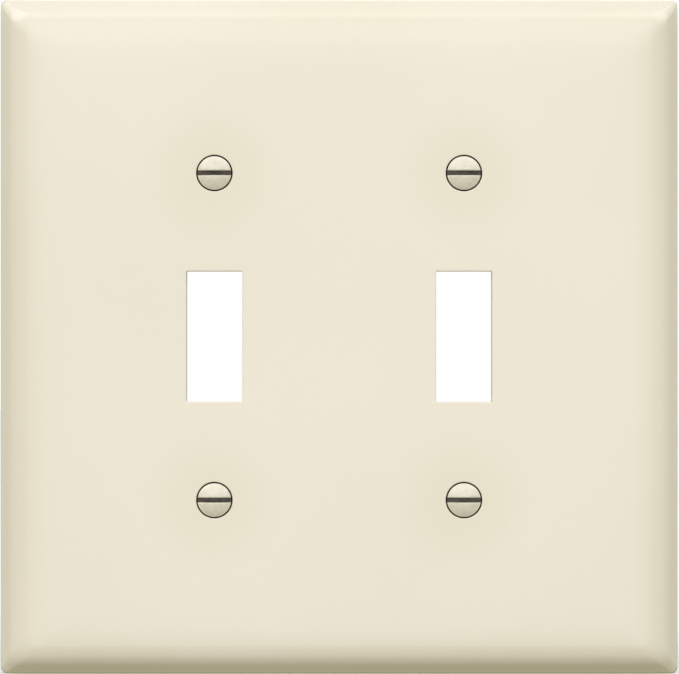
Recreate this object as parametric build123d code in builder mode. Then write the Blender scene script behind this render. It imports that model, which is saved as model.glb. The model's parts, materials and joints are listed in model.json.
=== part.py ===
"""Two-gang toggle switch wall plate with its four oval-head screws, in millimetres.

+X is right, +Z is up and the face of the plate looks along -Y. The origin is the centre of
the rim that rests on the wall, so the plate stands in front of the wall plane y = 0 and the
screws reach behind it.
"""

from build123d import *
from math import asin, degrees, radians, tan
import os

# Plate
PLATE_WIDTH = 125.5
PLATE_HEIGHT = 124.8
PLATE_DEPTH = 6.35
FACE_THICKNESS = 2.1
RIM_WIDTH = 2.0
CORNER_RADIUS = 1.0

# Rolled edge, from the flat face outwards: a wide arc, then a small one down to the side wall
ROLL_WIDTH = 8.5
ROLL_RADIUS = 12.0
EDGE_RADIUS = 1.1

# Openings and screw holes, to suit toggle switches side by side
GANG_SPACING = 46.04
SCREW_SPACING = 60.33
OPENING_WIDTH = 10.3
OPENING_HEIGHT = 24.1
OPENING_EDGE_RADIUS = 0.25
HOLE_RADIUS = 2.05
COUNTERSINK_RADIUS = 3.3
COUNTERSINK_ANGLE = 90.0
GROOVE_DEPTH = 0.4

# Stiffening behind the face: a recess is how far its back stays in front of the wall
RIB_THICKNESS = 1.2
CROSS_RIB_RECESS = 2.85
CENTRE_RIB_RECESS = 2.0
COLLAR_THICKNESS = 1.3
COLLAR_RECESS = 2.4
BOSS_RADIUS = 4.6
BOSS_RECESS = 1.8
RIB_ROOT = 0.2
RIB_END_INSET = 3.2
CENTRE_RIB_END_INSET = 2.2

# Screws, number 6-32 by 12.7 mm, oval head. A groove with straight walls runs round the head's
# edge, and below it the plate's countersink is wider in angle than the head, so the two come
# closest at the bottom of the cone
HEAD_RADIUS = 3.1
HEAD_ANGLE = 82.0
HEAD_DOME = 0.8
HEAD_STAND = 0.05
HEAD_EDGE = HEAD_STAND + GROOVE_DEPTH
SLOT_WIDTH = 0.9
SLOT_DEPTH = 1.15
NECK_RADIUS = 1.495
NECK_END = -1.5
THREAD_RADIUS = 1.7526
THREAD_RUNOUT = 0.25
SCREW_LENGTH = 12.7
TIP_CHAMFER = 0.45

# Places worked out from the sizes
FACE = -PLATE_DEPTH
INNER_FACE = FACE + FACE_THICKNESS
HEAD_SLOPE = tan(radians(HEAD_ANGLE / 2))
HEAD_RIM = FACE - HEAD_STAND
GANGS = (-GANG_SPACING / 2, GANG_SPACING / 2)
ROWS = (-SCREW_SPACING / 2, SCREW_SPACING / 2)
SCREWS = {
    "screw_upper_left": (GANGS[0], ROWS[1]),
    "screw_upper_right": (GANGS[1], ROWS[1]),
    "screw_lower_left": (GANGS[0], ROWS[0]),
    "screw_lower_right": (GANGS[1], ROWS[0]),
}

# Planes: sections run across the plate with their local y along +Y, and the others face +Y or -Y
ACROSS_WIDTH = Plane.XY
ACROSS_HEIGHT = Plane(origin=(0, 0, 0), x_dir=(0, 0, 1), z_dir=(-1, 0, 0))
WALL = Plane(origin=(0, 0, 0), x_dir=(1, 0, 0), z_dir=(0, 1, 0))
FRONT = Plane(origin=(0, FACE, 0), x_dir=(1, 0, 0), z_dir=(0, -1, 0))


def rolled_section(half, end_inset, radius, edge_radius, back):
    """Half of a section through the rolled edge, mirrored to a whole one.

    The wide arc starts where the flat face ends and is concentric with every other one. It
    runs out until a side wall end_inset from the plate's side, through a small arc if
    edge_radius isn't zero.
    """
    centre = Vector(half - ROLL_WIDTH, FACE + ROLL_RADIUS)
    reach = ROLL_WIDTH - end_inset
    angle = degrees(asin((reach - edge_radius) / (radius - edge_radius)))
    side = half - end_inset
    with BuildSketch() as section:
        with BuildLine():
            roll = CenterArc(centre, radius, -90, angle)
            if edge_radius:
                small_centre = centre + (roll @ 1 - centre) * ((radius - edge_radius) / radius)
                edge = CenterArc(small_centre, edge_radius, angle - 90, 90 - angle)
                side_top = edge @ 1
            else:
                side_top = roll @ 1
            Polyline(side_top, (side, back), (0, back), (0, centre.Y - radius), roll @ 0)
        make_face()
        mirror(about=Plane.YZ)
    return section.sketch


def screw_section():
    """Half of the screw's section: local x is the radius and local y is the row's Y."""
    cone_end = HEAD_RIM + HEAD_EDGE + (HEAD_RADIUS - NECK_RADIUS) / HEAD_SLOPE
    tip = HEAD_RIM + SCREW_LENGTH
    with BuildSketch() as section:
        with BuildLine():
            ThreePointArc(
                (-HEAD_RADIUS, HEAD_RIM),
                (0, HEAD_RIM - HEAD_DOME),
                (HEAD_RADIUS, HEAD_RIM),
            )
            Polyline(
                (HEAD_RADIUS, HEAD_RIM),
                (HEAD_RADIUS, HEAD_RIM + HEAD_EDGE),
                (NECK_RADIUS, cone_end),
                (NECK_RADIUS, NECK_END),
                (THREAD_RADIUS, NECK_END + THREAD_RUNOUT),
                (THREAD_RADIUS, tip - TIP_CHAMFER),
                (THREAD_RADIUS - TIP_CHAMFER, tip),
                (0, tip),
            )
            Line((0, tip), (-HEAD_RADIUS, HEAD_RIM))
        make_face()
        split(bisect_by=Plane.YZ, keep=Keep.TOP)
    return section.sketch


# Space behind the face, an even wall inside the rolled edge
with BuildPart() as hollow:
    hollow_radius = ROLL_RADIUS - FACE_THICKNESS
    with BuildSketch(ACROSS_WIDTH):
        add(rolled_section(PLATE_WIDTH / 2, RIM_WIDTH, hollow_radius, 0, RIM_WIDTH))
    extrude(amount=PLATE_HEIGHT / 2 - RIM_WIDTH, both=True)
    with BuildSketch(ACROSS_HEIGHT):
        add(rolled_section(PLATE_HEIGHT / 2, RIM_WIDTH, hollow_radius, 0, RIM_WIDTH))
    extrude(amount=PLATE_WIDTH / 2 - RIM_WIDTH, both=True, mode=Mode.INTERSECT)

with BuildPart() as wall_plate:
    # Outside: the rolled section runs both ways, so the corners are mitred, then softened
    with BuildSketch(ACROSS_WIDTH):
        add(rolled_section(PLATE_WIDTH / 2, 0, ROLL_RADIUS, EDGE_RADIUS, 0))
    extrude(amount=PLATE_HEIGHT / 2, both=True)
    with BuildSketch(ACROSS_HEIGHT):
        add(rolled_section(PLATE_HEIGHT / 2, 0, ROLL_RADIUS, EDGE_RADIUS, 0))
    extrude(amount=PLATE_WIDTH / 2, both=True, mode=Mode.INTERSECT)
    mitres = wall_plate.edges().filter_by(GeomType.ELLIPSE)
    upright_corners = wall_plate.edges().filter_by(Axis.Y)
    fillet(mitres + upright_corners, radius=CORNER_RADIUS)
    add(hollow.part, mode=Mode.SUBTRACT)
    # Ribs across the plate through the screw bosses, up and down through each gang, and between
    root = INNER_FACE - RIB_ROOT
    with BuildSketch(WALL.offset(root)):
        with Locations([(0, z) for z in ROWS]):
            Rectangle(PLATE_WIDTH - 2 * RIB_END_INSET, RIB_THICKNESS)
        with Locations([(x, 0) for x in GANGS]):
            Rectangle(RIB_THICKNESS, PLATE_HEIGHT - 2 * RIB_END_INSET)
    extrude(amount=-CROSS_RIB_RECESS - root)
    with BuildSketch(WALL.offset(root)):
        Rectangle(RIB_THICKNESS, PLATE_HEIGHT - 2 * CENTRE_RIB_END_INSET)
    extrude(amount=-CENTRE_RIB_RECESS - root)
    # A collar round each opening and a boss round each screw hole
    with BuildSketch(WALL.offset(root)):
        with Locations([(x, 0) for x in GANGS]):
            Rectangle(OPENING_WIDTH + 2 * COLLAR_THICKNESS, OPENING_HEIGHT + 2 * COLLAR_THICKNESS)
    extrude(amount=-COLLAR_RECESS - root)
    with BuildSketch(WALL.offset(root)):
        with GridLocations(GANG_SPACING, SCREW_SPACING, 2, 2):
            Circle(BOSS_RADIUS)
    extrude(amount=-BOSS_RECESS - root)
    # Toggle openings, with their front edges just broken
    with BuildSketch(FRONT):
        with Locations([(x, 0) for x in GANGS]):
            Rectangle(OPENING_WIDTH, OPENING_HEIGHT)
    extrude(amount=-PLATE_DEPTH, mode=Mode.SUBTRACT)
    face_rims = wall_plate.faces().sort_by(Axis.Y)[0].inner_wires()
    fillet([edge for rim in face_rims for edge in rim.edges()], radius=OPENING_EDGE_RADIUS)
    # Screw holes: a groove for the head's edge, then a countersink
    with Locations(FRONT):
        with GridLocations(GANG_SPACING, SCREW_SPACING, 2, 2):
            Hole(COUNTERSINK_RADIUS, GROOVE_DEPTH)
    with Locations(FRONT.offset(-GROOVE_DEPTH)):
        with GridLocations(GANG_SPACING, SCREW_SPACING, 2, 2):
            CounterSinkHole(HOLE_RADIUS, COUNTERSINK_RADIUS, PLATE_DEPTH, COUNTERSINK_ANGLE)

wall_plate.part.label = "wall_plate"
os.makedirs("parts", exist_ok=True)
export_step(wall_plate.part, "parts/wall_plate.step")

slot_floor = HEAD_RIM - HEAD_DOME + SLOT_DEPTH
for name, (screw_x, screw_z) in SCREWS.items():
    with BuildPart() as screw:
        with BuildSketch(Plane(origin=(screw_x, 0, screw_z), x_dir=(1, 0, 0), z_dir=(0, 0, 1))):
            add(screw_section())
        revolve(axis=Axis((screw_x, 0, screw_z), (0, 1, 0)))
        # Slot straight across the head
        with BuildSketch(Plane(origin=(screw_x, slot_floor, screw_z), x_dir=(1, 0, 0), z_dir=(0, -1, 0))):
            Rectangle(3 * HEAD_RADIUS, SLOT_WIDTH)
        extrude(amount=2 * SLOT_DEPTH, mode=Mode.SUBTRACT)
    screw.part.label = name
    export_step(screw.part, f"parts/{name}.step")
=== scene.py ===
import json
import math

import bmesh
import bpy
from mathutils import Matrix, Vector
from mathutils.geometry import delaunay_2d_cdt


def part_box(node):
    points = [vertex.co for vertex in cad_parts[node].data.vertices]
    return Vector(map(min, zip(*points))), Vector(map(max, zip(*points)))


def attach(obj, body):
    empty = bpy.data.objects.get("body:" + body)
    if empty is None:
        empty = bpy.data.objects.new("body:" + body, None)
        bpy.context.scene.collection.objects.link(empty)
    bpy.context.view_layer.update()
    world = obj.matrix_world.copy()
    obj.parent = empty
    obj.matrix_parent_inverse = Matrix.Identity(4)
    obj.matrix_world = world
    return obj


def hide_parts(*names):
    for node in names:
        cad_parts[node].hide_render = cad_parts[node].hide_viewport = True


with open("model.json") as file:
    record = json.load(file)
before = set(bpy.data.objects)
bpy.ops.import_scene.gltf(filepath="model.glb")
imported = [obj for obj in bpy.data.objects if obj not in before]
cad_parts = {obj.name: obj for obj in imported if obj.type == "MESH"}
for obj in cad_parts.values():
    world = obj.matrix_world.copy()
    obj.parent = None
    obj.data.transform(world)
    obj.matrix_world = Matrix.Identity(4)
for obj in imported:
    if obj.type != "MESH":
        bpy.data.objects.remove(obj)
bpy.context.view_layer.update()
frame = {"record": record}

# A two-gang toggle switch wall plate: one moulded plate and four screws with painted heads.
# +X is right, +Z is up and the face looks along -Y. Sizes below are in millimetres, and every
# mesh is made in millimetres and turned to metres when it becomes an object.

MM = 0.001
SCREWS = ("screw_upper_left", "screw_upper_right", "screw_lower_left", "screw_lower_right")

# ---------------------------------------------------------------- sizes from the frame


def box_mm(node):
    """A CAD node's lowest and highest corners, in millimetres."""
    low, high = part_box(node)
    return low / MM, high / MM


plate_low, plate_high = box_mm("wall_plate")
HALF_WIDTH = plate_high.x
HALF_HEIGHT = plate_high.z
FACE = plate_low.y
screw_low, screw_high = box_mm(SCREWS[0])
screw_middle = {name: sum(box_mm(name), Vector()) / 2 for name in SCREWS}
GANG = abs(screw_middle[SCREWS[0]].x)
SCREW_ROW = abs(screw_middle[SCREWS[0]].z)
record_mounts = {mount["name"]: mount for mount in frame["record"]["mounts"]}
THREAD_RADIUS = record_mounts["switch_screws"]["dims"]["stud_r_mm"]

# The record's box for a toggle stays this far inside the opening's walls
OPENING_BOX_MARGIN = 0.1
toggle_box = next(
    opening["box_m"]
    for opening in frame["record"]["physics"]["openings"]
    if opening["name"] == "toggle_opening_right"
)
OPENING_HALF_WIDTH = (toggle_box[1][0] - toggle_box[0][0]) / 2 / MM + OPENING_BOX_MARGIN
OPENING_HALF_HEIGHT = (toggle_box[1][2] - toggle_box[0][2]) / 2 / MM + OPENING_BOX_MARGIN

# ---------------------------------------------------------------- the moulding's own sizes

FACE_THICKNESS = 2.1
INNER_FACE = FACE + FACE_THICKNESS
RIM_WIDTH = 2.0
RIM_ROUND = 0.15
FLAT_START = 15.5

# The edge rolls over from the face through ever tighter arcs to a short bevel, and a small arc
# joins that to the side wall. Each arc: radius, the tilts where it starts and ends, and steps
ROLL_WIDTH = 14.0
BEVEL_TILT = 48.0
ROLL_ARCS = (
    (210.0, 0.0, 1.5, 3),
    (48.0, 1.5, 5.2, 5),
    (10.0, 5.2, 15.0, 8),
    (4.7, 15.0, BEVEL_TILT, 14),
)
EDGE_RADIUS = 1.0
EDGE_STEPS = 8
HOLLOW_WIDTH = 8.5
HOLLOW_RADIUS = 9.9

# The roll turns the plate's corners at one plan radius, wider than that of the side walls, so
# the bevel dips a little at each corner. The mesh's rings widen as they go in
ROLL_CORNER = 2.4
PLAN_CORNER = 0.95
CORNER_GROWTH = 0.5
HOLLOW_CORNER = 0.8
HOLLOW_CORNER_GROWTH = 0.22

# Even quads run this far round openings and holes before the flat's triangles start
OPENING_MARGIN = 1.2
HOLE_MARGIN = 1.0
ROOT_MARGIN = 0.8
FRONT_SPACING = 2.2
BACK_SPACING = 3.0

OPENING_CORNER = 0.25
OPENING_ROUND = 0.15
COLLAR_THICKNESS = 1.3
COLLAR_TOP = -2.4
HOLE_RADIUS = 2.05
COUNTERSINK_RADIUS = 3.36
GROOVE_DEPTH = 0.4
GROOVE_ROUND = 0.06
BOSS_RADIUS = 4.6
BOSS_TOP = -1.8
RIB_HALF = 0.6
RIB_DRAFT = 0.04
CROSS_RIB_TOP = -2.85
CENTRE_RIB_TOP = -2.0
RIB_ROUND = 0.15
ROOT_FILLET = 0.3
RIB_ROOT = 0.2
RIB_END_INSET = 3.2
CENTRE_RIB_END_INSET = 2.2

# Shrinkage over the thick places behind the face pulls it in by a few hundredths
BOSS_SINK_DEPTH = 0.035
BOSS_SINK_REACH = 7.5
RIB_SINK_DEPTH = 0.012
RIB_SINK_REACH = 4.0

# The plate's second material, painted shade for the groove round each screw head, and the rings of a
# screw hole between which it lies
PAINTED_SHADE = 1
PAINTED_SHADE_START, PAINTED_SHADE_END = 4, 7

EJECTOR_RADIUS = 2.4
EJECTOR_DEPTH = 0.12
EJECTOR_DROP = 3.0

# ---------------------------------------------------------------- mesh helpers


def rounded_rectangle(half_x, half_z, radius, side_steps, corner_steps):
    """Points (x, z) of a rounded rectangle, anticlockwise with X right and Z up."""
    points = []
    signs = ((1, 1), (-1, 1), (-1, -1), (1, -1))
    for quarter, (sign_x, sign_z) in enumerate(signs):
        middle = Vector((sign_x * (half_x - radius), sign_z * (half_z - radius)))
        for step in range(corner_steps + 1):
            angle = math.radians(90) * (quarter + step / corner_steps)
            points.append(middle + radius * Vector((math.cos(angle), math.sin(angle))))
        next_x, next_z = signs[(quarter + 1) % 4]
        next_middle = Vector((next_x * (half_x - radius), next_z * (half_z - radius)))
        end_angle = math.radians(90) * (quarter + 1)
        next_start = next_middle + radius * Vector((math.cos(end_angle), math.sin(end_angle)))
        start = points[-1]
        for step in range(1, side_steps):
            points.append(start.lerp(next_start, step / side_steps))
    return points


def circle(radius, steps):
    """Points (x, z) of a circle, anticlockwise with X right and Z up."""
    turns = [math.tau * step / steps for step in range(steps)]
    return [Vector((radius * math.cos(turn), radius * math.sin(turn))) for turn in turns]


def add_ring(mesh, points, depth, middle=(0, 0)):
    """A closed row of vertices at one depth, or at the depth that a function gives for x and z."""
    ring = []
    for point in points:
        x, z = point[0] + middle[0], point[1] + middle[1]
        y = depth(x, z) if callable(depth) else depth
        ring.append(mesh.verts.new((x, y, z)))
    return ring


def bridge(mesh, rings, material=0):
    """Quads between each ring and the next."""
    for first, second in zip(rings, rings[1:]):
        for here in range(len(first)):
            after = (here + 1) % len(first)
            face = mesh.faces.new((first[here], first[after], second[after], second[here]))
            face.material_index = material


def arc(middle, radius, start, end, steps, skip_first=True):
    """Points on an arc, angles in degrees from the first axis to the second."""
    points = []
    for step in range(1 if skip_first else 0, steps + 1):
        angle = math.radians(start + (end - start) * step / steps)
        points.append((middle[0] + radius * math.cos(angle), middle[1] + radius * math.sin(angle)))
    return points


def outside_by(x, z, half_x, half_z, radius):
    """How far a point lies outside a rounded rectangle, negative inside it."""
    across, up = abs(x) - (half_x - radius), abs(z) - (half_z - radius)
    return math.hypot(max(across, 0), max(up, 0)) + min(max(across, up), 0) - radius


def fill_flat(mesh, outer, holes, clear_by, depth, spacing):
    """Triangles over a nearly flat area between rings, with grid points inside it.

    clear_by gives how far a point is from the rings, negative where the area ends.
    """
    verts = list(outer)
    edges = [(here, (here + 1) % len(outer)) for here in range(len(outer))]
    for hole in holes:
        first = len(verts)
        verts += hole
        edges += [(first + here, first + (here + 1) % len(hole)) for here in range(len(hole))]
    columns = int(max(vert.co.x for vert in outer) / spacing)
    rows = int(max(vert.co.z for vert in outer) / spacing)
    for column in range(-columns, columns + 1):
        for row in range(-rows, rows + 1):
            x, z = column * spacing, row * spacing
            if clear_by(x, z) > spacing / 2:
                verts.append(mesh.verts.new((x, depth(x, z), z)))
    flat = [Vector((vert.co.x, vert.co.z)) for vert in verts]
    _, _, triangles, sources, _, _ = delaunay_2d_cdt(flat, edges, [], 0, 1e-6)
    for triangle in triangles:
        middle = sum((flat[sources[corner][0]] for corner in triangle), Vector((0, 0))) / 3
        if clear_by(middle.x, middle.y) > 0:
            mesh.faces.new([verts[sources[corner][0]] for corner in triangle])


def to_object(mesh, name, materials):
    """The mesh as a scene object in metres, with its faces turned outwards."""
    bmesh.ops.recalc_face_normals(mesh, faces=mesh.faces)
    for vert in mesh.verts:
        vert.co *= MM
    data = bpy.data.meshes.new(name)
    mesh.to_mesh(data)
    mesh.free()
    for material in materials:
        data.materials.append(material)
    piece = bpy.data.objects.new(name, data)
    bpy.context.scene.collection.objects.link(piece)
    return piece


def combine(piece, operation, tool):
    """Joins the tool's solids to the piece or cuts them away, and removes the tool."""
    modifier = piece.modifiers.new(operation.lower(), "BOOLEAN")
    modifier.operation = operation
    modifier.solver = "EXACT"
    modifier.material_mode = "TRANSFER"
    modifier.object = tool
    seen = bpy.context.evaluated_depsgraph_get()
    result = bpy.data.meshes.new_from_object(piece.evaluated_get(seen))
    piece.modifiers.clear()
    old = piece.data
    piece.data = result
    bpy.data.meshes.remove(old)
    bpy.data.objects.remove(tool)


def finish_surface(piece, name, crease_degrees):
    """Smooth shading that keeps real edges and lets the large faces set the direction of light."""
    piece.data.name = name
    for polygon in piece.data.polygons:
        polygon.use_smooth = True
    piece.data.set_sharp_from_angle(angle=math.radians(crease_degrees))
    weigh = piece.modifiers.new("weighted normals", "WEIGHTED_NORMAL")
    weigh.keep_sharp = True
    weigh.mode = "FACE_AREA_WITH_ANGLE"


# ---------------------------------------------------------------- materials


def srgb(code):
    """An sRGB hex colour as linear RGBA."""
    channels = [int(code[place:place + 2], 16) / 255 for place in (0, 2, 4)]
    linear = [c / 12.92 if c <= 0.04045 else ((c + 0.055) / 1.055) ** 2.4 for c in channels]
    return (*linear, 1.0)


def add_node(tree, kind, inputs=None, links=None, **settings):
    """Adds a node with its settings, the values of its own sockets and the links into it."""
    made = tree.nodes.new(kind)
    for name, value in settings.items():
        setattr(made, name, value)
    for socket, value in (inputs or {}).items():
        made.inputs[socket].default_value = value
    for socket, source in (links or {}).items():
        tree.links.new(source, made.inputs[socket])
    return made


def new_material(name):
    """A material with a bare shader tree, its surface shader and its object coordinates."""
    material = bpy.data.materials.new(name)
    material.use_nodes = True
    tree = material.node_tree
    place = add_node(tree, "ShaderNodeTexCoord").outputs["Object"]
    return material, tree, tree.nodes["Principled BSDF"], place


def almond_polycarbonate():
    """Light-almond polycarbonate, injection moulded in a polished mould.

    It gives the eye a warm even off-white under a clear gloss, with a faint softness in the
    reflection from the fine orange peel of the mould's polish.
    """
    material, tree, shader, place = new_material("almond_polycarbonate")
    shader.inputs["IOR"].default_value = 1.585
    # Pigment is mixed in swirls about 40 mm across that differ by a shade
    swirl = add_node(
        tree, "ShaderNodeTexNoise", {"Scale": 1 / (40 * MM), "Detail": 0.5}, {"Vector": place}
    )
    pigment = add_node(tree, "ShaderNodeValToRGB", links={"Fac": swirl.outputs["Fac"]})
    pigment.color_ramp.elements[0].position = 0.35
    pigment.color_ramp.elements[0].color = srgb("E5DBC3")
    pigment.color_ramp.elements[1].position = 0.65
    pigment.color_ramp.elements[1].color = srgb("E7DDC6")
    # The wall is thickest over the screw bosses, where the colour reads a shade deeper
    apart = add_node(tree, "ShaderNodeVectorMath", {}, {0: place}, operation="ABSOLUTE")
    apart = add_node(
        tree,
        "ShaderNodeVectorMath",
        {1: (GANG * MM, 0, SCREW_ROW * MM)},
        {0: apart.outputs["Vector"]},
        operation="SUBTRACT",
    )
    level = add_node(
        tree,
        "ShaderNodeVectorMath",
        {1: (1, 0, 1)},
        {0: apart.outputs["Vector"]},
        operation="MULTIPLY",
    )
    reach = add_node(
        tree, "ShaderNodeVectorMath", {}, {0: level.outputs["Vector"]}, operation="LENGTH"
    )
    near = add_node(
        tree,
        "ShaderNodeMapRange",
        {"From Min": 3 * MM, "From Max": 15 * MM, "To Min": 1.0, "To Max": 0.0},
        {"Value": reach.outputs["Value"]},
        interpolation_type="SMOOTHSTEP",
    )
    deeper = add_node(
        tree,
        "ShaderNodeMix",
        {7: srgb("FAF9F4")},
        {0: near.outputs["Result"], 6: pigment.outputs["Color"]},
        data_type="RGBA",
        blend_type="MULTIPLY",
    )
    tree.links.new(deeper.outputs[2], shader.inputs["Base Color"])
    # Handling dulls the polish in soft patches about 15 mm across
    dulling = add_node(
        tree, "ShaderNodeTexNoise", {"Scale": 1 / (15 * MM), "Detail": 1.0}, {"Vector": place}
    )
    gloss = add_node(
        tree,
        "ShaderNodeMapRange",
        {"From Min": 0.3, "From Max": 0.7, "To Min": 0.2, "To Max": 0.24},
        {"Value": dulling.outputs["Fac"]},
    )
    tree.links.new(gloss.outputs["Result"], shader.inputs["Roughness"])
    # Orange peel is about 0.5 mm from crest to crest and a few microns deep
    peel = add_node(
        tree, "ShaderNodeTexNoise", {"Scale": 1 / (0.5 * MM), "Detail": 1.0}, {"Vector": place}
    )
    relief = add_node(
        tree,
        "ShaderNodeBump",
        {"Strength": 0.15, "Distance": 0.004 * MM},
        {"Height": peel.outputs["Fac"]},
    )
    tree.links.new(relief.outputs["Normal"], shader.inputs["Normal"])
    return material


def almond_enamel():
    """Baked almond enamel sprayed on steel screw heads.

    It gives the eye a slightly cooler off-white than the plate, with a rounder, brighter gloss.
    """
    material, tree, shader, place = new_material("almond_enamel")
    shader.inputs["IOR"].default_value = 1.5
    shader.inputs["Coat Weight"].default_value = 0.2
    shader.inputs["Coat Roughness"].default_value = 0.15
    # The paint is thinner in specks about 0.8 mm across
    cover = add_node(
        tree, "ShaderNodeTexNoise", {"Scale": 1 / (0.8 * MM), "Detail": 3.0}, {"Vector": place}
    )
    tone = add_node(tree, "ShaderNodeValToRGB", links={"Fac": cover.outputs["Fac"]})
    tone.color_ramp.elements[0].position = 0.3
    tone.color_ramp.elements[0].color = srgb("D8D0B8")
    tone.color_ramp.elements[1].position = 0.6
    tone.color_ramp.elements[1].color = srgb("E0D9C3")
    tree.links.new(tone.outputs["Color"], shader.inputs["Base Color"])
    gloss = add_node(
        tree,
        "ShaderNodeMapRange",
        {"From Min": 0.3, "From Max": 0.7, "To Min": 0.28, "To Max": 0.4},
        {"Value": cover.outputs["Fac"]},
    )
    tree.links.new(gloss.outputs["Result"], shader.inputs["Roughness"])
    # Spray texture, about 0.3 mm from crest to crest
    spray = add_node(
        tree, "ShaderNodeTexNoise", {"Scale": 1 / (0.3 * MM), "Detail": 2.0}, {"Vector": place}
    )
    relief = add_node(
        tree,
        "ShaderNodeBump",
        {"Strength": 0.4, "Distance": 0.01 * MM},
        {"Height": spray.outputs["Fac"]},
    )
    tree.links.new(relief.outputs["Normal"], shader.inputs["Normal"])
    return material


def zinc_plated_steel():
    """Low-carbon steel, thread rolled and bright zinc plated.

    It gives the eye a bluish silver with soft streaks round the shank from rolling.
    """
    material, tree, shader, place = new_material("zinc_plated_steel")
    shader.inputs["Metallic"].default_value = 1.0
    # Passivation leaves clouds about 1.5 mm across between bluish and straw
    cloud = add_node(
        tree, "ShaderNodeTexNoise", {"Scale": 1 / (1.5 * MM), "Detail": 3.0}, {"Vector": place}
    )
    tone = add_node(tree, "ShaderNodeValToRGB", links={"Fac": cloud.outputs["Fac"]})
    tone.color_ramp.elements[0].position = 0.35
    tone.color_ramp.elements[0].color = srgb("B9BEC4")
    tone.color_ramp.elements[1].position = 0.7
    tone.color_ramp.elements[1].color = srgb("D2CFC4")
    tree.links.new(tone.outputs["Color"], shader.inputs["Base Color"])
    # Streaks run round the screw: fine along its length, long across it
    along = add_node(
        tree,
        "ShaderNodeMapping",
        {"Scale": (1.0, 6.0, 1.0)},
        {"Vector": place},
    )
    streak = add_node(
        tree,
        "ShaderNodeTexNoise",
        {"Scale": 1 / (0.9 * MM), "Detail": 4.0},
        {"Vector": along.outputs["Vector"]},
    )
    gloss = add_node(
        tree,
        "ShaderNodeMapRange",
        {"From Min": 0.3, "From Max": 0.7, "To Min": 0.24, "To Max": 0.42},
        {"Value": streak.outputs["Fac"]},
    )
    tree.links.new(gloss.outputs["Result"], shader.inputs["Roughness"])
    relief = add_node(
        tree,
        "ShaderNodeBump",
        {"Strength": 0.3, "Distance": 0.01 * MM},
        {"Height": streak.outputs["Fac"]},
    )
    tree.links.new(relief.outputs["Normal"], shader.inputs["Normal"])
    return material


def sawn_steel_and_shade():
    """Bare steel in the sawn slot, painted darker to stand in for the shade down in the slot.

    It gives the eye a dark brownish grey line with saw marks along it.
    """
    material, tree, shader, place = new_material("sawn_steel_and_shade")
    shader.inputs["Metallic"].default_value = 1.0
    # Saw marks run along the slot, about 0.12 mm apart
    along = add_node(tree, "ShaderNodeMapping", {"Scale": (0.15, 1.0, 1.0)}, {"Vector": place})
    saw = add_node(
        tree,
        "ShaderNodeTexNoise",
        {"Scale": 1 / (0.12 * MM), "Detail": 2.0},
        {"Vector": along.outputs["Vector"]},
    )
    # Dark tones: the steel's own grey deepened into painted shade
    tone = add_node(tree, "ShaderNodeValToRGB", links={"Fac": saw.outputs["Fac"]})
    tone.color_ramp.elements[0].position = 0.3
    tone.color_ramp.elements[0].color = srgb("3A3630")
    tone.color_ramp.elements[1].position = 0.7
    tone.color_ramp.elements[1].color = srgb("6E665A")
    tree.links.new(tone.outputs["Color"], shader.inputs["Base Color"])
    shader.inputs["Roughness"].default_value = 0.5
    relief = add_node(
        tree,
        "ShaderNodeBump",
        {"Strength": 0.5, "Distance": 0.02 * MM},
        {"Height": saw.outputs["Fac"]},
    )
    tree.links.new(relief.outputs["Normal"], shader.inputs["Normal"])
    return material


def painted_groove_shade():
    """Painted shade for the narrow groove round a screw head, standing in for the shadow there.

    It gives the eye a dull brown-black that hardly reflects, so each head has a dark outline.
    """
    material, tree, shader, place = new_material("painted_groove_shade")
    shader.inputs["Roughness"].default_value = 0.85
    shader.inputs["IOR"].default_value = 1.45
    # The painted shade varies in lumps about 0.3 mm across
    lumps = add_node(
        tree, "ShaderNodeTexNoise", {"Scale": 1 / (0.3 * MM), "Detail": 2.0}, {"Vector": place}
    )
    # Near-black tones of the painted shade
    tone = add_node(tree, "ShaderNodeValToRGB", links={"Fac": lumps.outputs["Fac"]})
    tone.color_ramp.elements[0].position = 0.35
    tone.color_ramp.elements[0].color = srgb("1C1812")
    tone.color_ramp.elements[1].position = 0.7
    tone.color_ramp.elements[1].color = srgb("332D23")
    tree.links.new(tone.outputs["Color"], shader.inputs["Base Color"])
    relief = add_node(
        tree,
        "ShaderNodeBump",
        {"Strength": 0.5, "Distance": 0.02 * MM},
        {"Height": lumps.outputs["Fac"]},
    )
    tree.links.new(relief.outputs["Normal"], shader.inputs["Normal"])
    return material


def pale_paper():
    """Uncoated paper, pressed and dried.

    It gives the eye an even pale ground without gloss, on which shadows stay soft.
    """
    paper, tree, shader, place = new_material("pale_paper")
    shader.inputs["Base Color"].default_value = srgb("F4F3F0")
    shader.inputs["Roughness"].default_value = 0.9
    # Fibres clump about 2 mm apart
    fibre = add_node(
        tree, "ShaderNodeTexNoise", {"Scale": 1 / (2.0 * MM), "Detail": 3.0}, {"Vector": place}
    )
    relief = add_node(
        tree,
        "ShaderNodeBump",
        {"Strength": 0.2, "Distance": 0.05 * MM},
        {"Height": fibre.outputs["Fac"]},
    )
    tree.links.new(relief.outputs["Normal"], shader.inputs["Normal"])
    return paper


# ---------------------------------------------------------------- the plate


def face_depth(x, z):
    """Depth of the front face, with its sink marks opposite the bosses and the centre rib."""
    sink = RIB_SINK_DEPTH * math.exp(-((x / RIB_SINK_REACH) ** 2))
    for boss_x in (-GANG, GANG):
        for boss_z in (-SCREW_ROW, SCREW_ROW):
            distance = math.hypot(x - boss_x, z - boss_z)
            sink += BOSS_SINK_DEPTH * math.exp(-((distance / BOSS_SINK_REACH) ** 2))
    edge = min(HALF_WIDTH - abs(x), HALF_HEIGHT - abs(z))
    fade = min(max((edge - ROLL_WIDTH) / RIB_SINK_REACH, 0.0), 1.0)
    return FACE + sink * fade


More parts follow.
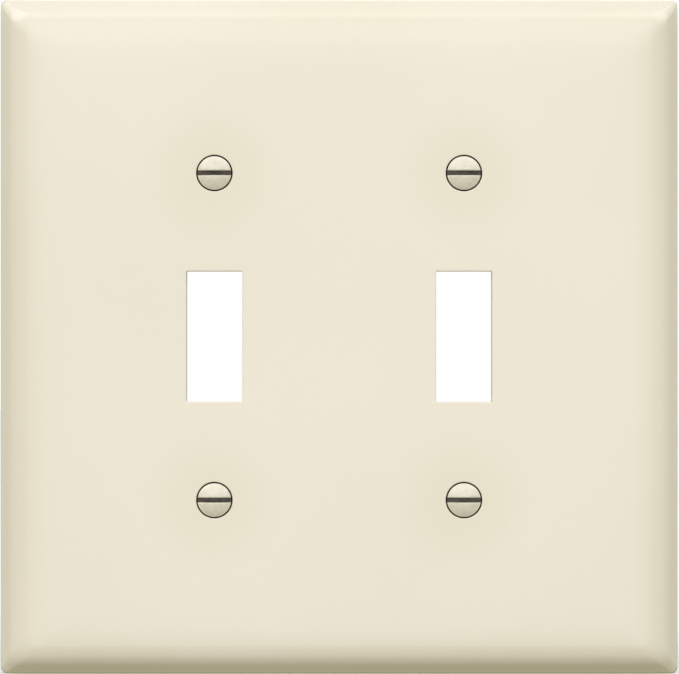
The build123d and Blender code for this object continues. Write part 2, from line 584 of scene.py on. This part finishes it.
def clear_of_rings(corner, opening_reach, hole_reach):
    """A measure of how far a point on a flat is from its outline, its openings and its holes."""

    def clear_by(x, z):
        half_x, half_z = HALF_WIDTH - FLAT_START, HALF_HEIGHT - FLAT_START
        gang_x = math.copysign(GANG, x)
        row_z = math.copysign(SCREW_ROW, z)
        opening_x, opening_z = OPENING_HALF_WIDTH + opening_reach, OPENING_HALF_HEIGHT + opening_reach
        opening_corner = OPENING_CORNER + opening_reach
        return min(
            -outside_by(x, z, half_x, half_z, corner),
            outside_by(x - gang_x, z, opening_x, opening_z, opening_corner),
            math.hypot(x - gang_x, z - row_z) - hole_reach,
        )

    return clear_by


def inset_at(x, z):
    """How far in from the sides a point counts for the roll, which rounds the corners."""
    from_side, from_end = HALF_WIDTH - abs(x), HALF_HEIGHT - abs(z)
    if abs(from_side - from_end) >= ROLL_CORNER:
        return min(from_side, from_end)
    reach = math.sqrt(2 * ROLL_CORNER ** 2 - (from_side - from_end) ** 2)
    return (from_side + from_end + reach) / 2 - ROLL_CORNER


def roll_depth(inset):
    """Depth of the rolled edge without its outermost arc, at a distance in from the side."""
    start, depth = ROLL_WIDTH, FACE
    for radius, first, last, _ in ROLL_ARCS:
        if inset >= start:
            break
        first, last = math.radians(first), math.radians(last)
        end = start - radius * (math.sin(last) - math.sin(first))
        tilt = math.asin(math.sin(first) + (start - max(inset, end)) / radius)
        depth += radius * (math.cos(first) - math.cos(tilt))
        start = end
    return depth + max(start - inset, 0) * math.tan(math.radians(BEVEL_TILT))


def on_roll(drop, share=1.0):
    """A depth for a ring on the roll: so far below it, or at a share of its depth."""
    return lambda x, z: (roll_depth(inset_at(x, z)) + drop) * share


def outer_rings():
    """Distance in and depth of each ring from the flat of the face to the foot of the side."""
    rings = [(FLAT_START, face_depth), (ROLL_WIDTH, on_roll(0))]
    inset = ROLL_WIDTH
    for radius, first, last, steps in ROLL_ARCS:
        for step in range(steps):
            tilt = math.radians(first + (last - first) * step / steps)
            after = math.radians(first + (last - first) * (step + 1) / steps)
            inset -= radius * (math.sin(after) - math.sin(tilt))
            rings.append((inset, on_roll(0)))
    bevel = math.radians(BEVEL_TILT)
    arc_start = EDGE_RADIUS * (1 - math.sin(bevel))
    rings.append((arc_start, on_roll(0)))
    for step in range(1, EDGE_STEPS + 1):
        tilt = bevel + (math.radians(90) - bevel) * step / EDGE_STEPS
        inset = EDGE_RADIUS * (1 - math.sin(tilt))
        below_start = EDGE_RADIUS * (math.cos(bevel) - math.cos(tilt))
        rings.append((inset, on_roll(below_start - (arc_start - inset) * math.tan(bevel))))
    side_top = EDGE_RADIUS * math.cos(bevel) - arc_start * math.tan(bevel)
    rings += [(0, on_roll(side_top, 0.5)), (0, -RIM_ROUND)]
    return rings


def edge_rings(mesh):
    """Rings from the flat of the face, round the rolled edge and the rim, to the hollow's floor."""
    outside = outer_rings() + arc((RIM_ROUND, -RIM_ROUND), RIM_ROUND, 180, 90, 3)
    inside = arc((RIM_WIDTH - RIM_ROUND, -RIM_ROUND), RIM_ROUND, 90, 0, 3, skip_first=False)
    hollow_end = -90 - math.degrees(math.asin((HOLLOW_WIDTH - RIM_WIDTH) / HOLLOW_RADIUS))
    hollow_middle = (HOLLOW_WIDTH, INNER_FACE + HOLLOW_RADIUS)
    inside += arc(hollow_middle, HOLLOW_RADIUS, hollow_end, -90, 14, skip_first=False)
    inside += [(FLAT_START - 3, INNER_FACE), (FLAT_START, INNER_FACE)]
    rings = [plate_ring(mesh, inset, depth, outer_corner(inset)) for inset, depth in outside]
    rings += [plate_ring(mesh, inset, depth, hollow_corner(inset)) for inset, depth in inside]
    return rings


def outer_corner(inset):
    """Plan radius of the face's corner at a distance in from the sides."""
    return PLAN_CORNER + CORNER_GROWTH * inset


def hollow_corner(inset):
    """Plan radius of the hollow's corner at a distance in from the sides."""
    return HOLLOW_CORNER + HOLLOW_CORNER_GROWTH * (inset - RIM_WIDTH)


def plate_ring(mesh, inset, depth, corner):
    """One ring of the plate's outline, moved in from its sides."""
    points = rounded_rectangle(HALF_WIDTH - inset, HALF_HEIGHT - inset, corner, 52, 10)
    return add_ring(mesh, points, depth)


def opening_rings(mesh, gang_x):
    """Rings from the face, down through a toggle opening and round its collar, to the hollow."""
    # How far out from the opening's wall, and the depth
    profile = [(OPENING_MARGIN, face_depth), (OPENING_MARGIN / 2, face_depth)]
    front = arc((OPENING_ROUND, FACE + OPENING_ROUND), OPENING_ROUND, -90, -180, 5, False)
    profile += front
    profile += [(0, (FACE + COLLAR_TOP) / 2), (0, COLLAR_TOP - RIB_ROUND)]
    profile += arc((RIB_ROUND, COLLAR_TOP - RIB_ROUND), RIB_ROUND, 180, 90, 3)
    outer = COLLAR_THICKNESS
    profile += arc((outer - RIB_ROUND, COLLAR_TOP - RIB_ROUND), RIB_ROUND, 90, 0, 3, False)
    profile += root_fillet(outer + RIB_DRAFT)
    profile += [(outer + ROOT_MARGIN, INNER_FACE)]
    rings = []
    for out, depth in profile:
        points = rounded_rectangle(
            OPENING_HALF_WIDTH + out, OPENING_HALF_HEIGHT + out, OPENING_CORNER + out, 12, 4
        )
        rings.append(add_ring(mesh, points, depth, (gang_x, 0)))
    return rings


def root_fillet(start):
    """The hollow curve where a wall that stands on the hollow's floor meets it."""
    middle = (start + ROOT_FILLET, INNER_FACE + ROOT_FILLET)
    return arc(middle, ROOT_FILLET, 180, 270, 4, skip_first=False)


def hole_rings(mesh, gang_x, row_z):
    """Rings from the face, down a screw hole's groove and countersink and round its boss."""
    groove_floor = FACE + GROOVE_DEPTH
    cone_end = groove_floor + COUNTERSINK_RADIUS - HOLE_RADIUS
    lip = FACE + BOSS_SINK_DEPTH + GROOVE_ROUND
    margins = (HOLE_MARGIN, HOLE_MARGIN / 3)
    profile = [(COUNTERSINK_RADIUS + margin, face_depth) for margin in margins]
    lip_middle = (COUNTERSINK_RADIUS + GROOVE_ROUND, lip)
    profile += arc(lip_middle, GROOVE_ROUND, -90, -180, 3, skip_first=False)
    profile += [
        (COUNTERSINK_RADIUS, groove_floor),
        (HOLE_RADIUS, cone_end),
        (HOLE_RADIUS, cone_end + 0.2),
        (HOLE_RADIUS, BOSS_TOP - RIB_ROUND),
    ]
    profile += arc((HOLE_RADIUS + RIB_ROUND, BOSS_TOP - RIB_ROUND), RIB_ROUND, 180, 90, 3)
    profile += arc((BOSS_RADIUS - RIB_ROUND, BOSS_TOP - RIB_ROUND), RIB_ROUND, 90, 0, 3, False)
    profile += root_fillet(BOSS_RADIUS + RIB_DRAFT)
    profile += [(BOSS_RADIUS + ROOT_MARGIN, INNER_FACE)]
    return [add_ring(mesh, circle(radius, 64), depth, (gang_x, row_z)) for radius, depth in profile]


def plate_shell(materials):
    """The moulding without its ribs: face, rolled edge, rim, hollow, openings and screw holes."""
    mesh = bmesh.new()
    edge = edge_rings(mesh)
    openings = [opening_rings(mesh, gang_x) for gang_x in (-GANG, GANG)]
    holes = [
        hole_rings(mesh, gang_x, row_z)
        for gang_x in (-GANG, GANG)
        for row_z in (-SCREW_ROW, SCREW_ROW)
    ]
    for rings in (edge, *openings):
        bridge(mesh, rings)
    for rings in holes:
        # The groove's wall and the countersink take the painted shade
        bridge(mesh, rings[:PAINTED_SHADE_START + 1])
        bridge(mesh, rings[PAINTED_SHADE_START:PAINTED_SHADE_END + 1], PAINTED_SHADE)
        bridge(mesh, rings[PAINTED_SHADE_END:])
    through = [*openings, *holes]
    front_starts = [rings[0] for rings in through]
    back_starts = [rings[-1] for rings in through]
    front = clear_of_rings(
        outer_corner(FLAT_START), OPENING_MARGIN, COUNTERSINK_RADIUS + HOLE_MARGIN
    )
    back = clear_of_rings(
        hollow_corner(FLAT_START), COLLAR_THICKNESS + ROOT_MARGIN, BOSS_RADIUS + ROOT_MARGIN
    )
    fill_flat(mesh, edge[0], front_starts, front, face_depth, FRONT_SPACING)
    fill_flat(mesh, edge[-1], back_starts, back, lambda x, z: INNER_FACE, BACK_SPACING)
    return to_object(mesh, "plate", materials)


def add_rib(mesh, start, end, top):
    """A drafted rib with rounded edges and a filleted root, from start to end, both (x, z)."""
    run = Vector((end[0] - start[0], end[1] - start[1])).normalized()
    side = Vector((-run.y, run.x))
    half = RIB_HALF - RIB_DRAFT
    section = arc((half - RIB_ROUND, top - RIB_ROUND), RIB_ROUND, 90, 0, 3, False)
    section += root_fillet(RIB_HALF)[:-1]
    last = RIB_HALF + ROOT_FILLET
    section += [(last, INNER_FACE + 0.01), (last, INNER_FACE - RIB_ROOT)]
    section += [(-across, depth) for across, depth in reversed(section)]
    rings = []
    for place in (start, end):
        ring = []
        for across, depth in section:
            spot = Vector(place) + side * across
            ring.append(mesh.verts.new((spot.x, depth, spot.y)))
        rings.append(ring)
    bridge(mesh, rings)
    mesh.faces.new(rings[0])
    mesh.faces.new(reversed(rings[1]))


def cross_ribs():
    """The ribs across the plate through the bosses, and up and down through each gang."""
    mesh = bmesh.new()
    in_boss = (HOLE_RADIUS + BOSS_RADIUS) / 2
    in_collar = OPENING_HALF_HEIGHT + COLLAR_THICKNESS / 2
    side_end = HALF_WIDTH - RIB_END_INSET
    upright_end = HALF_HEIGHT - RIB_END_INSET
    for row_z in (-SCREW_ROW, SCREW_ROW):
        add_rib(mesh, (-side_end, row_z), (-GANG - in_boss, row_z), CROSS_RIB_TOP)
        add_rib(mesh, (-GANG + in_boss, row_z), (GANG - in_boss, row_z), CROSS_RIB_TOP)
        add_rib(mesh, (GANG + in_boss, row_z), (side_end, row_z), CROSS_RIB_TOP)
    for gang_x in (-GANG, GANG):
        for up in (-1, 1):
            boss = up * SCREW_ROW
            add_rib(mesh, (gang_x, up * in_collar), (gang_x, boss - up * in_boss), CROSS_RIB_TOP)
            add_rib(mesh, (gang_x, boss + up * in_boss), (gang_x, up * upright_end), CROSS_RIB_TOP)
    return to_object(mesh, "cross_ribs", [])


def centre_rib():
    """The taller rib between the two gangs."""
    mesh = bmesh.new()
    end = HALF_HEIGHT - CENTRE_RIB_END_INSET
    add_rib(mesh, (0, -end), (0, end), CENTRE_RIB_TOP)
    return to_object(mesh, "centre_rib", [])


def ejector_marks():
    """Shallow round marks that the mould's ejector pins leave in the hollow's floor."""
    mesh = bmesh.new()
    upper = (HALF_HEIGHT + SCREW_ROW) / 2 - EJECTOR_DROP
    for x in (-2 * GANG, -GANG / 2, GANG / 2, 2 * GANG):
        for z in (-upper, 0, upper):
            depths = (INNER_FACE - EJECTOR_DEPTH, INNER_FACE + 1)
            rings = [add_ring(mesh, circle(EJECTOR_RADIUS, 40), depth, (x, z)) for depth in depths]
            bridge(mesh, rings)
            mesh.faces.new(rings[0])
            mesh.faces.new(reversed(rings[1]))
    return to_object(mesh, "ejector_marks", [])


def make_plate(materials):
    """The whole moulding."""
    plate = plate_shell(materials)
    combine(plate, "UNION", cross_ribs())
    combine(plate, "UNION", centre_rib())
    combine(plate, "DIFFERENCE", ejector_marks())
    finish_surface(plate, "plate", 40)
    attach(plate, "plate")
    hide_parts("wall_plate")
    return plate


# ---------------------------------------------------------------- the screws

HEAD_RADIUS = (screw_high.z - screw_low.z) / 2
HEAD_STAND = 0.05
HEAD_RIM = FACE - HEAD_STAND
HEAD_EDGE = HEAD_STAND + GROOVE_DEPTH
HEAD_DOME = 0.8
HEAD_ANGLE = 82.0
HEAD_CONE_SLOPE = math.tan(math.radians(HEAD_ANGLE / 2))
RIM_CORNER = 0.06
DOME_STEPS = 12
CONE_STEPS = 6
NECK_RADIUS = 1.495
THREAD_START = -3.6
THREAD_PITCH = 25.4 / 32
THREAD_DEPTH = 0.6134 * THREAD_PITCH
THREAD_ROWS = 12
# In shares of half a pitch: half the flat root's width, and the flank's width
THREAD_ROOT = 0.2
THREAD_FLANK = 0.62
TIP = screw_high.y
TIP_CHAMFER = 0.45
SLOT_HALF = 0.43
SLOT_DEPTH = 1.15
SLOT_FLOOR = HEAD_RIM - HEAD_DOME + SLOT_DEPTH
SLOT_BREAK = 0.2
# How far the cutter runs past the head's side, and its flares past the broken lips
SLOT_OVERRUN = 0.4
SLOT_CLEAR = 0.5
SLOT_STEPS = 28
SCREW_STEPS = 72
# The screw's materials; the last is the groove's painted shade, used on the head's side
ENAMEL, ZINC, SAWN_AND_SHADE, EDGE_PAINTED_SHADE = 0, 1, 2, 3


def dome_depth(radius):
    """Depth of the head's dome at a distance from the screw's axis."""
    sphere = (HEAD_RADIUS ** 2 + HEAD_DOME ** 2) / (2 * HEAD_DOME)
    return HEAD_RIM - HEAD_DOME + sphere - math.sqrt(sphere ** 2 - radius ** 2)


def thread_radius(x, z, depth):
    """Distance of the thread's surface from the axis, right-handed, fading in at its start."""
    turn = math.atan2(x, z) / math.tau
    phase = (depth / THREAD_PITCH - turn) % 1.0
    flank = abs(phase - 0.5) * 2
    ridge = min(max((flank - THREAD_ROOT) / THREAD_FLANK, 0.0), 1.0)
    full = THREAD_RADIUS - THREAD_DEPTH * (1 - ridge)
    fade = min(max((depth - THREAD_START) / THREAD_PITCH, 0.0), 1.0)
    tip_limit = THREAD_RADIUS - max(depth - (TIP - TIP_CHAMFER), 0.0)
    return min(NECK_RADIUS + (full - NECK_RADIUS) * fade, tip_limit)


def screw_blank(mesh):
    """The screw without its slot: dome, rim, cone under the head, neck and rolled thread."""
    shapes = []
    for step in range(1, DOME_STEPS + 1):
        radius = (HEAD_RADIUS - RIM_CORNER) * step / DOME_STEPS
        shapes.append((radius, dome_depth(radius), ENAMEL))
    shapes.append((HEAD_RADIUS - 0.02, HEAD_RIM - 0.015, ENAMEL))
    shapes.append((HEAD_RADIUS, HEAD_RIM + 0.015, ENAMEL))
    # The head's side takes the groove's painted shade
    shapes.append((HEAD_RADIUS, HEAD_RIM + HEAD_EDGE, EDGE_PAINTED_SHADE))
    cone = (HEAD_RADIUS - NECK_RADIUS) / HEAD_CONE_SLOPE
    for step in range(1, CONE_STEPS + 1):
        share = step / CONE_STEPS
        radius = HEAD_RADIUS + (NECK_RADIUS - HEAD_RADIUS) * share
        shapes.append((radius, HEAD_RIM + HEAD_EDGE + cone * share, ZINC))
    shapes.append((NECK_RADIUS, THREAD_START, ZINC))
    rows = int((TIP - THREAD_START) / (THREAD_PITCH / THREAD_ROWS))
    for row in range(1, rows + 1):
        depth = THREAD_START + (TIP - THREAD_START) * row / rows
        shapes.append((None, depth, ZINC))
    rings = []
    for radius, depth, _ in shapes:
        ring = []
        for point in circle(1.0, SCREW_STEPS):
            reach = thread_radius(point.x, point.y, depth) if radius is None else radius
            ring.append(mesh.verts.new((point.x * reach, depth, point.y * reach)))
        rings.append(ring)
    for place in range(len(rings) - 1):
        bridge(mesh, rings[place:place + 2], shapes[place + 1][2])
    top = mesh.verts.new((0, HEAD_RIM - HEAD_DOME, 0))
    for here in range(SCREW_STEPS):
        mesh.faces.new((top, rings[0][(here + 1) % SCREW_STEPS], rings[0][here]))
    end = mesh.faces.new(reversed(rings[-1]))
    end.material_index = ZINC


def slot_cutter(materials, middle):
    """A saw's cut across the head, flared along its lips so that they're broken evenly."""
    mesh = bmesh.new()
    stations = []
    reach = HEAD_RADIUS + SLOT_OVERRUN
    wide = SLOT_HALF + SLOT_BREAK + SLOT_CLEAR
    above = HEAD_RIM - HEAD_DOME - 2 * SLOT_CLEAR
    for step in range(SLOT_STEPS + 1):
        x = reach * (2 * step / SLOT_STEPS - 1)
        lip = dome_depth(min(abs(x), HEAD_RADIUS))
        broken = min(lip + SLOT_BREAK, SLOT_FLOOR - 0.05)
        half = [(SLOT_HALF, SLOT_FLOOR), (SLOT_HALF, broken), (wide, lip - SLOT_CLEAR), (wide, above)]
        section = [(-SLOT_HALF, SLOT_FLOOR), *half]
        section += [(-across, depth) for across, depth in reversed(half[1:])]
        stations.append([mesh.verts.new((x, depth, z)) for z, depth in section])
    bridge(mesh, stations)
    for face in mesh.faces:
        face.material_index = SAWN_AND_SHADE
    # The lips keep their paint: the flares are the third and the seventh side of the section
    for station, after in zip(stations, stations[1:]):
        for here in (2, 6):
            corners = {station[here], station[here + 1], after[here], after[here + 1]}
            for face in station[here].link_faces:
                if set(face.verts) == corners:
                    face.material_index = ENAMEL
    mesh.faces.new(stations[0])
    mesh.faces.new(reversed(stations[-1]))
    bmesh.ops.translate(mesh, verts=mesh.verts, vec=(middle.x, 0, middle.z))
    return to_object(mesh, "slot_cutter", materials)


def make_screw(name, materials):
    """One screw in its hole, its slot level."""
    middle = screw_middle[name]
    mesh = bmesh.new()
    screw_blank(mesh)
    bmesh.ops.translate(mesh, verts=mesh.verts, vec=(middle.x, 0, middle.z))
    screw = to_object(mesh, name + "_piece", materials)
    combine(screw, "DIFFERENCE", slot_cutter(materials, middle))
    finish_surface(screw, name + "_piece", 35)
    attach(screw, name)
    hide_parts(name)
    return screw


# ---------------------------------------------------------------- studio

LENS = 200.0
SENSOR = 36.0
# How much of the picture's width the plate fills, where its widest outline lies behind the
# face, and how far the camera stands off the middle, right and up
FILL = 0.9965
WIDEST_BEHIND_FACE = 3.9
CAMERA_RIGHT, CAMERA_UP = 0.06, -0.075

# Lamps: how far round from straight in front, how high, how wide and tall, all in degrees as
# the plate sees them, then brightness and tint. They stand this far away, in metres
LAMP_DISTANCE = 5.0
LAMPS = {
    "left_softbox": (-48, 41, 42, 38, 2.73, "FFFFFF"),
    "right_softbox": (48, 41, 42, 38, 2.1, "FFFFFF"),
    "overhead_softbox": (0, 49, 40, 42, 1.05, "EEF3FF"),
    "front_softbox": (0, -1, 26, 26, 1.9, "E8EFFF"),
    "high_softbox": (0, 17, 34, 17, 2.25, "F0F4FF"),
    "back_softbox": (155, 32, 60, 50, 1.3, "FFFFFF"),
}

# The floor's half width, and how far it lies under the plate
FLOOR_HALF = 2500
FLOOR_GAP = 0.05

# Light from the surroundings: from a warm worktop below, from level and from overhead
SKY_DOWN = 0.34
SKY_LEVEL = 0.38
SKY_UP = 0.45
SKY_TINTS = ("FFF8B4", "FFFFFA", "DFECFF")


def make_camera():
    """Straight in front of the plate, far enough away that its sides stay parallel."""
    data = bpy.data.cameras.new("camera")
    data.lens = LENS
    data.sensor_width = SENSOR
    camera = bpy.data.objects.new("camera", data)
    framed = 2 * HALF_WIDTH * MM / FILL
    distance = framed * LENS / SENSOR
    widest = (FACE + WIDEST_BEHIND_FACE) * MM
    camera.location = (CAMERA_RIGHT * MM, widest - distance, CAMERA_UP * MM)
    camera.rotation_euler = (math.radians(90), 0, 0)
    bpy.context.scene.collection.objects.link(camera)
    bpy.context.scene.camera = camera


def add_softbox(name, turn, lift, width, height, brightness, tint):
    """A rectangular softbox that faces the plate."""
    data = bpy.data.lights.new(name, "AREA")
    data.shape = "RECTANGLE"
    data.size = 2 * LAMP_DISTANCE * math.tan(math.radians(width / 2))
    data.size_y = 2 * LAMP_DISTANCE * math.tan(math.radians(height / 2))
    # Power in step with the area, so that a lamp is as bright at any size
    data.energy = brightness * math.pi * data.size * data.size_y
    data.color = srgb(tint)[:3]
    lamp = bpy.data.objects.new(name, data)
    turn, lift = math.radians(turn), math.radians(lift)
    way = Vector(
        (math.sin(turn) * math.cos(lift), -math.cos(turn) * math.cos(lift), math.sin(lift))
    )
    lamp.location = LAMP_DISTANCE * way
    lamp.visible_camera = False
    lamp.rotation_euler = way.to_track_quat("Z", "Y").to_euler()
    bpy.context.scene.collection.objects.link(lamp)


def make_surroundings():
    """White to the camera, and as light a room that is brightest overhead."""
    world = bpy.data.worlds.new("surroundings")
    world.use_nodes = True
    bpy.context.scene.world = world
    tree = world.node_tree
    way = add_node(tree, "ShaderNodeTexCoord").outputs["Generated"]
    height = add_node(tree, "ShaderNodeSeparateXYZ", links={"Vector": way}).outputs["Z"]
    rise = add_node(
        tree, "ShaderNodeMapRange", {"From Min": -1.0, "From Max": 1.0}, {"Value": height}
    )
    shade = add_node(tree, "ShaderNodeValToRGB", links={"Fac": rise.outputs["Result"]})
    ramp = shade.color_ramp
    ramp.elements.new(0.5)
    bands = zip(ramp.elements, (0, 0.5, 1), (SKY_DOWN, SKY_LEVEL, SKY_UP), SKY_TINTS)
    for element, share, light, tint in bands:
        element.position = share
        element.color = (*(light * channel for channel in srgb(tint)[:3]), 1)
    lit = add_node(tree, "ShaderNodeBackground", links={"Color": shade.outputs["Color"]})
    white = add_node(tree, "ShaderNodeBackground", {"Color": (1, 1, 1, 1)})
    seen = add_node(tree, "ShaderNodeLightPath").outputs["Is Camera Ray"]
    mixed = add_node(
        tree,
        "ShaderNodeMixShader",
        links={0: seen, 1: lit.outputs["Background"], 2: white.outputs["Background"]},
    )
    tree.links.new(mixed.outputs["Shader"], tree.nodes["World Output"].inputs["Surface"])


def make_floor():
    """A sheet of paper under the plate."""
    mesh = bmesh.new()
    under = plate_low.z - FLOOR_GAP
    corners = [(-1, -1), (1, -1), (1, 1), (-1, 1)]
    mesh.faces.new([mesh.verts.new((x * FLOOR_HALF, y * FLOOR_HALF, under)) for x, y in corners])
    floor = to_object(mesh, "floor", [pale_paper()])
    # The plate is lit as if it stood clear of the paper
    floor.visible_diffuse = False
    floor.visible_glossy = False
    floor.visible_shadow = False


def make_studio():
    """Softboxes, surroundings and floor, shown without a film curve."""
    bpy.context.scene.view_settings.view_transform = "Standard"
    for name, settings in LAMPS.items():
        add_softbox(name, *settings)
    make_surroundings()
    make_floor()


make_camera()
make_studio()
# One near-black painted shade serves the grooves round the screw heads, on plate and screws alike
groove_shade = painted_groove_shade()
plate_materials = [almond_polycarbonate(), groove_shade]
screw_materials = [almond_enamel(), zinc_plated_steel(), sawn_steel_and_shade(), groove_shade]
make_plate(plate_materials)
for screw_name in SCREWS:
    make_screw(screw_name, screw_materials)
